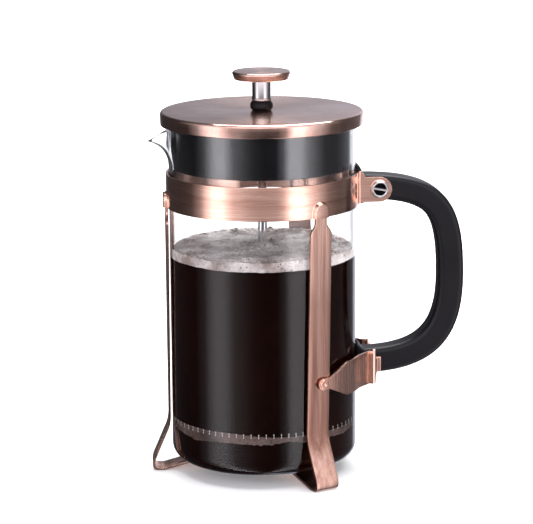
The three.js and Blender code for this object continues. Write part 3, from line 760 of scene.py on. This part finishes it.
def make_band():
    bend = 1.8 * MM
    start = math.asin((TAB_SIDE + bend) / (BAND_RADIUS + bend))
    turn = (BAND_RADIUS + bend) * math.cos(start)
    tab_radius = TAB_HEIGHT / 2
    end_x = TAB_END - tab_radius
    half = [(x, TAB_SIDE) for x, _ in arc((end_x, 0), tab_radius, 0, 90, 16)]
    half += [(turn + ahead * MM, TAB_SIDE) for ahead in (3.4, 2.6, 1.6, 0.8)]
    half += arc((turn, TAB_SIDE + bend), bend, -90, -180 + math.degrees(start), 8)
    steps = 840
    gap = math.degrees(start)
    points = half + arc((0, 0), BAND_RADIUS, gap, 360 - gap, steps)[1:-1]
    points += [(x, -y) for x, y in reversed(half)]

    def edges(point, _):
        past = max(0.0, point[0] - end_x)
        reach = math.sqrt(max((0.5 * MM) ** 2, tab_radius ** 2 - past ** 2))
        share = smoothstep(point[0], turn + 0.5 * MM, turn + 2.8 * MM)
        low = BAND_BOTTOM + (TAB_Z - reach - BAND_BOTTOM) * share
        high = BAND_TOP + (TAB_Z + reach - BAND_TOP) * share
        return low, high

    stations = stations_along(points, upright, Vector((0, 0, 1)), edges)
    piece = strip("band_strip", stations, rows=52, emboss=band_emboss)
    bevelled(piece, 0.3 * MM, angle=70)
    return finish_piece(piece, band_copper, "stand", "copper", "band")


def leg_path():
    half = STRIP / 2
    points = bezier([(LEG_RADIUS, LEG_BEND + 3 * MM), (LEG_RADIUS, LEG_BEND - 1 * MM),
                     (LEG_RADIUS + 1.2 * MM, LEG_BEND - 4.5 * MM)], 10)
    low_point = (FOOT_RADIUS - 1.2 * MM, 7 * MM)
    points += bezier([points[-1], low_point], 8)[1:]
    points += bezier([low_point, (FOOT_RADIUS + 0.4 * MM, 2.4 * MM), (FOOT_RADIUS - 0.6 * MM, half),
                      (FOOT_RADIUS - 3.4 * MM, half)], 14)[1:]
    points += [(FOOT_RADIUS - 4 * MM, half), (FOOT_RADIUS - 5.6 * MM, half), (FOOT_RADIUS - 6.2 * MM, half)]
    points += bezier([points[-1], (40 * MM, LEG_INNER_Z - 0.8 * MM)], 6)[1:]
    points += bezier([points[-1], (37.5 * MM, LEG_INNER_Z), (34 * MM, LEG_INNER_Z)], 6)[1:]
    points.append((LEG_INNER_END, LEG_INNER_Z))
    return points


def lean_along_glass(vertices):
    """Turns a leg's foot a little round the press against its top."""
    for vertex in vertices:
        x, y, z = vertex.co.x - AXIS_X, vertex.co.y, vertex.co.z
        share = (LEG_TWIST_TOP - z) / (LEG_TWIST_TOP - LEG_TWIST_BOTTOM)
        turn = LEG_TWIST * min(1.0, max(0.0, share))
        c, s = math.cos(turn), math.sin(turn)
        vertex.co = (AXIS_X + x * c - y * s, x * s + y * c, z)


def make_leg(node, angle):
    tongue_end = TONGUE_TOP - TONGUE_WIDTH / 2
    points = [(LEG_RADIUS, tongue_end + z) for z, _ in arc((0, 0), TONGUE_WIDTH / 2, 0, 90, 10)]
    steps, flare_height = 14, SHOULDER_TOP - SHOULDER_BOTTOM
    points += [(LEG_RADIUS, SHOULDER_TOP - flare_height * i / steps) for i in range(steps + 1)]
    points += [(LEG_RADIUS, z * MM) for z in range(130, 34, -6)]
    points += leg_path()

    def edges(point, travelled):
        z = point[1]
        width = LEG_WIDTH
        if travelled < 20 * MM and z > tongue_end:
            rise = z - tongue_end
            width = 2 * math.sqrt(max((0.4 * MM) ** 2, (TONGUE_WIDTH / 2) ** 2 - rise ** 2))
        elif travelled < 20 * MM:
            flare = smoothstep(SHOULDER_TOP - z, 0, flare_height)
            width = TONGUE_WIDTH + (LEG_WIDTH - TONGUE_WIDTH) * flare
        return -width / 2, width / 2

    out = Vector((math.cos(angle), math.sin(angle), 0))
    across = Vector((-math.sin(angle), math.cos(angle), 0))

    def place(radius, z):
        return Vector((AXIS_X, 0, 0)) + out * radius + Vector((0, 0, z))

    stations = stations_along(points, place, across, edges)
    piece = strip(node + "_strip", stations, rows=6)
    lean_along_glass(piece.data.vertices)
    bevelled(piece, 0.28 * MM)
    return finish_piece(piece, strip_copper, "stand", "copper", node)


def make_strap(side, suffix):
    eye_angle = math.pi / 3
    start = eye_angle + EYE_RADIUS / STRAP_RADIUS
    end = math.radians(24)
    steps = 70
    points = []
    for i in range(steps + 1):
        angle = start + (end - start) * (i / steps) ** 1.35
        points.append((STRAP_RADIUS * math.cos(angle), STRAP_RADIUS * math.sin(angle)))
    fold = (57.7 * MM, 12.6 * MM)
    fold_start = arc(fold, 1.9 * MM, 165, -25, 18)
    points += bezier([points[-1], (53.4 * MM, 16.0 * MM), (55.6 * MM, 14.4 * MM), fold_start[0]], 10)[1:]
    points += fold_start[1:]
    points += bezier([points[-1], (fold[0] + 1.0 * MM, TAB_SIDE + 1.5 * MM), (fold[0] + 1.5 * MM, TAB_SIDE),
                      (fold[0] + 3.0 * MM, TAB_SIDE)], 8)[1:]
    points += [(fold[0] + 4.4 * MM, TAB_SIDE), (fold[0] + 5.4 * MM, TAB_SIDE)]
    grow_start, grow = 2 * EYE_RADIUS + 1.0 * MM, 13.4 * MM

    def edges(point, travelled):
        if point[0] > fold[0] + 1.45 * MM:
            height = STRAP_TAB_HEIGHT
        elif travelled < EYE_RADIUS:
            back = EYE_RADIUS - travelled
            height = 2 * math.sqrt(max((0.35 * MM) ** 2, EYE_RADIUS ** 2 - back ** 2))
        else:
            share = min(1.0, max(0.0, (travelled - grow_start) / grow))
            height = STRAP_NECK + (STRAP_HEIGHT - STRAP_NECK) * share
        return STRAP_Z - height / 2, STRAP_Z + height / 2

    def place(x, y):
        return upright(x, side * y)

    stations = stations_along(points, place, Vector((0, 0, 1)), edges)
    piece = strip("strap_strip_" + suffix, stations, rows=8)
    bevelled(piece, 0.28 * MM)
    return finish_piece(piece, strap_copper, "stand", "copper", "strap_" + suffix)


def make_strap_rivet(side, suffix):
    """A pressed eye: a low ring with a dimple in its middle."""
    base = STRAP_RADIUS + STRIP / 2 + 0.02 * MM
    profile = filleted([
        (0, base - 2.0 * MM, 0), (1.4 * MM, base - 2.0 * MM, 0), (1.4 * MM, base - 0.2 * MM, 0.05 * MM),
        (2.5 * MM, base - 0.2 * MM, 0.1 * MM), (2.35 * MM, base + 0.45 * MM, 0.25 * MM),
        (1.5 * MM, base + 0.5 * MM, 0.2 * MM), (1.1 * MM, base + 0.1 * MM, 0.2 * MM), (0, base, 0),
    ], closed=False)
    piece = turned("strap_eye_" + suffix, profile, segments=40, centre=(0, 0))
    turn = Matrix.Rotation(side * math.pi / 3, 4, "Z") @ Matrix.Rotation(math.pi / 2, 4, "Y")
    piece.data.transform(Matrix.Translation((AXIS_X, 0, STRAP_Z)) @ turn)
    return finish_piece(piece, strap_copper, "stand", "copper", "strap_rivet_" + suffix)


# Handle.
def rounded_section(width, depth, corner, steps=6):
    points = []
    x, y = width / 2 - corner, depth / 2 - corner
    for cx, cy, start in ((x, y, 0), (-x, y, 90), (-x, -y, 180), (x, -y, 270)):
        points += arc((cx, cy), corner, start, start + 90, steps)
    return points


def handle_bar():
    """The D-shaped bar as vertices and faces, swept along two curves."""
    bow = (HANDLE_BOW, 104 * MM)
    path = bezier([(HANDLE_ROOT, 154 * MM), (94 * MM, 153.5 * MM), (102 * MM, 143 * MM), bow], 60)
    path += bezier([bow, (102 * MM, 70 * MM), (88 * MM, 57.5 * MM), (HANDLE_ROOT, 57.8 * MM)], 60)[1:]
    section = rounded_section(HANDLE_WIDTH, HANDLE_DEPTH, 2.6 * MM)
    vertices = []
    for i, point in enumerate(path):
        before, after = path[max(i - 1, 0)], path[min(i + 1, len(path) - 1)]
        along = Vector((after[0] - before[0], after[1] - before[1])).normalized()
        for width, depth in section:
            x, z = point[0] + along.y * depth, point[1] - along.x * depth
            vertices.append((AXIS_X + x, width, z))
    count = len(section)
    faces = tube_faces(len(path), count, False)
    last = (len(path) - 1) * count
    faces.append(tuple(range(count)))
    faces.append(tuple(range(last + count - 1, last - 1, -1)))
    return vertices, faces


def saddle_block(vertices, faces, half_degrees, low, high, outer):
    """A curved foot against the glass, its outer face leaning in towards its top and bottom."""
    inner = GLASS_RADIUS + 0.5 * MM
    base = len(vertices)
    columns, rows = 14, 12
    for radius_kind in (0, 1):
        for i in range(columns + 1):
            angle = math.radians(-half_degrees + 2 * half_degrees * i / columns)
            for row in range(rows + 1):
                share = row / rows
                z = low + (high - low) * share
                lean = 1 - abs(2 * share - 1) ** 2.5
                radius = inner if radius_kind == 0 else inner + 1.1 * MM + (outer - inner - 1.1 * MM) * lean
                vertices.append((AXIS_X + radius * math.cos(angle), radius * math.sin(angle), z))
    size = (columns + 1) * (rows + 1)
    for i in range(columns):
        for row in range(rows):
            a = base + i * (rows + 1) + row
            b = a + rows + 1
            faces.append((a, a + 1, b + 1, b))
            faces.append((size + a, size + b, size + b + 1, size + a + 1))
    for i in range(columns):
        for row in (0, rows):
            a = base + i * (rows + 1) + row
            b = a + rows + 1
            faces.append((a, b, size + b, size + a))
    for i in (0, columns):
        for row in range(rows):
            a = base + i * (rows + 1) + row
            faces.append((a, a + 1, size + a + 1, size + a))


def make_handle():
    vertices, faces = handle_bar()
    saddle_block(vertices, faces, 7.2, 145.8 * MM, 165.8 * MM, 54.6 * MM)
    saddle_block(vertices, faces, 10, 47.5 * MM, 67.8 * MM, 55.4 * MM)
    piece = new_piece("handle_grip", vertices, faces)
    remesh = piece.modifiers.new("one_moulding", "REMESH")
    remesh.mode = "VOXEL"
    remesh.voxel_size = 0.45 * MM
    smooth = piece.modifiers.new("soft", "SMOOTH")
    smooth.iterations = 4
    smooth.factor = 0.5
    settle(piece)
    smooth_mesh(piece.data, 60)
    return finish_piece(piece, satin_black, "stand", "handle_plastic", "handle")


def make_screw(name, node, side, slotted):
    """A screw or nut head lying on the handle's tab: bright rim, dished face and slot."""
    seat = TAB_SIDE + STRIP / 2
    profile = filleted([
        (0, 0, 0), (2 * MM, 0, 0), (2 * MM, seat, 0.05 * MM), (SCREW_HEAD_RADIUS, seat, 0.1 * MM),
        (SCREW_HEAD_RADIUS, seat + 1.3 * MM, 0.5 * MM), (3.9 * MM, seat + 2.3 * MM, 0.35 * MM),
        (3.3 * MM, seat + 1.8 * MM, 0.3 * MM), (0, seat + 1.9 * MM, 0),
    ], closed=False)
    piece = turned(name, profile, segments=96, centre=(0, 0))
    if slotted:
        cutter = new_piece("cutter", *slot_block(12 * MM, 1.0 * MM, seat + 1.0 * MM, seat + 4 * MM))
        cutter.data.transform(Matrix.Rotation(math.radians(-11), 4, "Z"))
        cut(piece, cutter)
        smooth_mesh(piece.data, 30)
    places = [(math.hypot(f.center.x, f.center.y), f.center.z) for f in piece.data.polygons]
    lay = Matrix.Rotation(-side * math.pi / 2, 4, "X")
    piece.data.transform(Matrix.Translation((AXIS_X + SCREW_X, 0, SCREW_Z)) @ lay)
    finish_piece(piece, screw_steel, "stand", "steel", node)
    piece.data.materials.append(black_oxide)
    for face, (reach, height) in zip(piece.data.polygons, places):
        face.material_index = int(reach < 3.5 * MM and height > seat + 1.5 * MM)
    return piece


def slot_block(length, width, low, high):
    vertices = [(x * length / 2, y * width / 2, z) for x in (-1, 1) for y in (-1, 1) for z in (low, high)]
    faces = [(0, 1, 3, 2), (4, 6, 7, 5), (0, 4, 5, 1), (2, 3, 7, 6), (0, 2, 6, 4), (1, 5, 7, 3)]
    return vertices, faces


# Lid and plunger.
def make_lid_cover():
    inside = LID_RADIUS - LID_SHEET
    under = LID_TOP - LID_SHEET
    draw_in = 0.25 * MM
    profile = filleted([
        (LID_HOLE, LID_TOP, 0.2 * MM), (LID_RADIUS, LID_TOP, 1.5 * MM),
        (LID_RADIUS - draw_in, LID_BOTTOM, 0.35 * MM), (inside - draw_in, LID_BOTTOM, 0.35 * MM),
        (inside, under, 1.0 * MM), (LID_HOLE, under, 0.2 * MM),
    ], closed=True, steps=7)
    piece = turned("lid_cover_plate", profile, closed=True, segments=256)
    return finish_piece(piece, lid_copper, "lid", "copper", "lid_cover")


def pour_slots():
    """Cutter for the five upright slots that the drink passes on the spout side."""
    depth, half = 3 * MM, SLOT_WIDTH / 2
    outline = arc((0, SLOT_TOP - half), half, 0, 180, 8) + arc((0, SLOT_BOTTOM + half), half, 180, 360, 8)
    count = len(outline)
    vertices, faces = [], []
    for i in range(-2, 3):
        turn = math.pi + math.radians(7 * i)
        c, s = math.cos(turn), math.sin(turn)
        start = len(vertices)
        for radius in (COLLAR_RADIUS - depth, COLLAR_RADIUS + depth):
            for across, z in outline:
                vertices.append((AXIS_X + radius * c - across * s, radius * s + across * c, z))
        faces.append(tuple(range(start + count - 1, start - 1, -1)))
        faces.append(tuple(range(start + count, start + 2 * count)))
        for face in tube_faces(2, count, False):
            faces.append(tuple(start + corner for corner in face))
    return new_piece("slot_cutter", vertices, faces)


def make_collar():
    """The plastic ring inside the glass. Its flange clears the rim by as much as its top clears the lid."""
    inside, under = COLLAR_RADIUS - COLLAR_WALL, COLLAR_TOP - 1.4 * MM
    flange_z = GLASS_RIM + LID_TOP - LID_SHEET - COLLAR_TOP
    profile = filleted([
        (LID_HOLE, under, 0), (inside, under, 1.0 * MM), (inside, COLLAR_BOTTOM, 0.5 * MM),
        (COLLAR_RADIUS, COLLAR_BOTTOM, 0.6 * MM), (COLLAR_RADIUS, flange_z, 0.4 * MM),
        (COLLAR_FLANGE, flange_z, 0.4 * MM), (COLLAR_FLANGE, COLLAR_TOP, 0.4 * MM),
        (LID_HOLE, COLLAR_TOP, 0),
    ], closed=True)
    piece = cut(turned("sealing_collar", profile, closed=True), pour_slots())
    return finish_piece(piece, gloss_black, "lid", "lid_plastic", "lid_collar")


def make_bushing():
    bore, neck = ROD_RADIUS + 0.1 * MM, 4.1 * MM
    seat = LID_TOP + 0.1 * MM
    low = bottom_of("rod_bushing")
    profile = filleted([
        (bore, low, 0), (neck, low, 0), (neck, seat, 0), (BUSHING_RADIUS - 1.0 * MM, seat, 0.4 * MM),
        (BUSHING_RADIUS, seat + 1.4 * MM, 1.2 * MM), (BUSHING_RADIUS, BUSHING_TOP - 1.6 * MM, 1.2 * MM),
        (BUSHING_RADIUS - 1.0 * MM, BUSHING_TOP, 0.6 * MM), (bore, BUSHING_TOP, 0),
    ], closed=True)
    piece = turned("lid_bushing", profile, closed=True, segments=96)
    return finish_piece(piece, satin_black, "bushing", "lid_plastic", "rod_bushing")


def make_plunger():
    rod = filleted([
        (0, ROD_BOTTOM, 0), (ROD_RADIUS, ROD_BOTTOM, 0.4 * MM),
        (ROD_RADIUS, ROD_TOP, 0.4 * MM), (0, ROD_TOP, 0),
    ], closed=False)
    finish_piece(turned("rod", rod, segments=64), steel, "plunger", "steel", "plunger_rod")
    bore, bead = ROD_RADIUS + 0.3 * MM, COLUMN_RADIUS + 0.2 * MM
    bore_top, seat = ROD_TOP + 0.3 * MM, COLUMN_TOP + 0.2 * MM
    column = filleted([
        (0, bore_top, 0), (bore, bore_top, 0), (bore, COLUMN_BOTTOM, 0), (bead, COLUMN_BOTTOM, 0.3 * MM),
        (bead, COLUMN_BOTTOM + 1.2 * MM, 0.15 * MM), (COLUMN_RADIUS, COLUMN_BOTTOM + 1.5 * MM, 0.1 * MM),
        (COLUMN_RADIUS, seat, 0.1 * MM), (0, seat, 0),
    ], closed=False)
    finish_piece(turned("column", column, segments=96), dark_steel, "plunger", "steel", "knob_column")
    knob = filleted([
        (0, KNOB_BOTTOM, 0), (KNOB_RADIUS - 1.2 * MM, KNOB_BOTTOM, 0.5 * MM),
        (KNOB_RADIUS, KNOB_TOP - 1.0 * MM, 0.5 * MM), (KNOB_RADIUS - 0.5 * MM, KNOB_TOP, 0.5 * MM),
        (0, KNOB_TOP, 0),
    ], closed=False)
    finish_piece(turned("knob_disc", knob, segments=160), lid_copper, "plunger", "copper", "knob")


def make_edge_spring():
    """The wound wire that presses the mesh to the glass, as a coil bent into a ring."""
    turns, per_turn, sides = 76, 16, 6
    coil, wire = 1.5 * MM, 0.22 * MM
    centre_z = MESH_TOP - 1.3 * MM
    count = turns * per_turn
    path = []
    for i in range(count):
        turn, share = divmod(i, per_turn)
        phase = 2 * math.pi * share / per_turn
        angle = 2 * math.pi * (turn + smoothstep(share / per_turn, 0.2, 0.8)) / turns
        squared = math.copysign(abs(math.cos(phase)) ** 0.35, math.cos(phase))
        radius = SPRING_RADIUS + coil * squared
        z = centre_z + coil * math.sin(phase)
        path.append(Vector((AXIS_X + radius * math.cos(angle), radius * math.sin(angle), z)))
    vertices = []
    for i, point in enumerate(path):
        along = (path[(i + 1) % count] - path[i - 1]).normalized()
        first = along.cross(Vector((0, 0, 1))).normalized()
        second = along.cross(first)
        for k in range(sides):
            angle = 2 * math.pi * k / sides
            vertices.append(tuple(point + (first * math.cos(angle) + second * math.sin(angle)) * wire))
    piece = new_piece("wound_spring", vertices, tube_faces(count, sides, True))
    return finish_piece(piece, bright_wire, "plunger", "filter_steel", "edge_spring")


def dress_cad_nodes():
    """CAD nodes whose shape is kept get a finish."""
    finishes = {
        "hub_plate": strip_copper, "bushing_clip": steel, "filter_hub": filter_steel,
        "spiral_plate": filter_steel, "mesh_screen": mesh_weave, "cross_plate": filter_steel,
        "filter_nut": filter_steel, "hub_rivet_spout": steel, "hub_rivet_left": steel,
        "hub_rivet_right": steel,
    }
    for name, material in finishes.items():
        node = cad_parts[name]
        node.data.materials.clear()
        node.data.materials.append(material)


make_beaker()
make_coffee()
make_foam()
make_bubbles()
make_filter_foam()
make_band()
for leg_name, leg_angle in LEG_ANGLES.items():
    make_leg(leg_name, leg_angle)
for strap_side, strap_name in ((1, "left"), (-1, "right")):
    make_strap(strap_side, strap_name)
    make_strap_rivet(strap_side, strap_name)
make_handle()
make_screw("screw_head", "handle_screw", -1, True)
make_screw("nut_head", "handle_nut", 1, False)
make_lid_cover()
make_collar()
make_bushing()
make_plunger()
make_edge_spring()
dress_cad_nodes()


# Floor, light and camera.
def make_floor():
    """A pale floor that glows softly away from the press, so that it stays as pale where no light falls."""
    size = 9.0
    corners = [(-size, -size, 0), (size, -size, 0), (size, size, 0), (-size, size, 0)]
    mesh = bpy.data.meshes.new("floor")
    mesh.from_pydata(corners, [], [(0, 1, 2, 3)])
    floor = bpy.data.objects.new("floor", mesh)
    bpy.context.collection.objects.link(floor)
    shader = Shader("pale_floor", Roughness=0.9, Specular_IOR_Level=0.1)
    grain = shader.noise(shader.coordinates, 3.0, 2.0)
    reach = shader.node("VectorMath", 1, {"operation": "LENGTH"}, _0=shader.coordinates)
    glow = shader.node("MapRange", Value=reach, From_Min=0.35, From_Max=1.6, To_Min=0.13, To_Max=1.0)
    shader.give("Base Color", shader.mix(grain, (0.83, 0.83, 0.83, 1), (0.85, 0.85, 0.85, 1)))
    shader.give("Emission Color", (1, 1, 1, 1))
    shader.give("Emission Strength", glow)
    mesh.materials.append(shader.material)
    shader.hide_from_reflections()


# What metal and gloss reflect, low down and higher up: (degrees to the right of the camera, brightness).
WALLS = (
    (-180, 0.70), (-173, 0.16), (-150, 0.05), (-92, 0.05), (-78, 0.40), (-61, 2.7), (-50, 2.7), (-36, 0.80),
    (-20, 0.30), (-10, 0.12), (4, 0.06), (18, 0.08), (27, 0.60), (36, 2.9), (49, 2.9), (61, 1.3),
    (75, 0.55), (86, 0.18), (104, 0.12), (146, 0.25), (156, 1.3), (166, 1.3), (180, 0.70),
)
UPPER = (
    (-180, 0.50), (-173, 0.20), (-150, 0.05), (-110, 0.05), (-84, 0.45), (-60, 1.5), (-42, 2.0), (-26, 2.8),
    (24, 2.8), (40, 1.6), (62, 1.5), (84, 0.60), (104, 0.15), (146, 0.22), (156, 0.95), (166, 0.95),
    (180, 0.50),
)
ZENITH = (0.16, 0.165, 0.20, 1)
COOL, NEUTRAL = (0.95, 0.96, 1.08), (1.0, 0.97, 1.03)


def wall_stops(levels):
    """The walls behind the press give a cooler light than those beside the camera."""
    stops = []
    for degrees, level in levels:
        tint = COOL if abs(degrees) > 140 else NEUTRAL
        stops.append(((degrees + 180) / 360, tuple(level * t for t in tint)))
    return stops


def make_world():
    """Upright softboxes and flags stand all round; looked at straight on, the room is plain white."""
    world = bpy.data.worlds.new("studio")
    bpy.context.scene.world = world
    world.use_nodes = True
    nodes = NodeTree(world.node_tree)
    direction = nodes.node("TexCoord")
    faced = nodes.node("Mapping", Vector=direction, Rotation=(0, 0, CAMERA_TURN))
    right, towards, up = nodes.node("SeparateXYZ", Vector=faced).node.outputs
    angle = nodes.math("ARCTAN2", right, nodes.math("MULTIPLY", towards, -1.0))
    share = nodes.math("MULTIPLY_ADD", angle, 0.5 / math.pi, 0.5)
    walls = nodes.ramp(share, *wall_stops(WALLS))
    upper = nodes.ramp(share, *wall_stops(UPPER))
    step = nodes.node("MapRange", Value=up, From_Min=-0.11, From_Max=0.06)
    rise = nodes.node("MapRange", Value=up, From_Min=0.45, From_Max=0.85)
    studio = nodes.mix(rise, nodes.mix(step, walls, upper), ZENITH)
    ray = nodes.node("LightPath").node.outputs
    through = nodes.math("ADD", ray["Is Camera Ray"], ray["Is Transmission Ray"])
    direct = nodes.math("LESS_THAN", ray["Glossy Depth"], 0.5)
    plain = nodes.math("MULTIPLY", through, direct, clamp=True)
    seen = nodes.mix(plain, studio, (1.0, 1.0, 1.0, 1))
    nodes.feed(nodes.tree.nodes["Background"].inputs["Color"], seen)


def add_softbox(name, place, target, size, power):
    place, target = Vector(place), Vector(target)
    light = bpy.data.lights.new(name, "AREA")
    light.shape = "RECTANGLE"
    light.size, light.size_y = size
    light.energy = power
    lamp = bpy.data.objects.new(name, light)
    lamp.location = place
    lamp.rotation_euler = (target - place).to_track_quat("-Z", "Y").to_euler()
    bpy.context.collection.objects.link(lamp)


def make_camera():
    camera = bpy.data.objects.new("camera", bpy.data.cameras.new("camera"))
    bpy.context.collection.objects.link(camera)
    camera.data.lens = CAMERA_LENS
    camera.data.clip_end = 50
    camera.location = (
        AXIS_X - CAMERA_DISTANCE * math.sin(CAMERA_TURN),
        -CAMERA_DISTANCE * math.cos(CAMERA_TURN),
        CAMERA_HEIGHT,
    )
    heading = Matrix.Rotation(-CAMERA_TURN - CAMERA_PAN, 4, "Z")
    aim = heading @ Matrix.Rotation(math.pi / 2 - CAMERA_TILT, 4, "X")
    camera.rotation_euler = (aim @ Matrix.Rotation(CAMERA_ROLL, 4, "Z")).to_euler()
    bpy.context.scene.camera = camera


make_floor()
make_world()
add_softbox("overhead", (AXIS_X + 0.22, 0.28, 1.5), (AXIS_X, 0, 0.1), (1.5, 1.3), 60)
make_camera()
bpy.context.scene.view_settings.view_transform = "Standard"
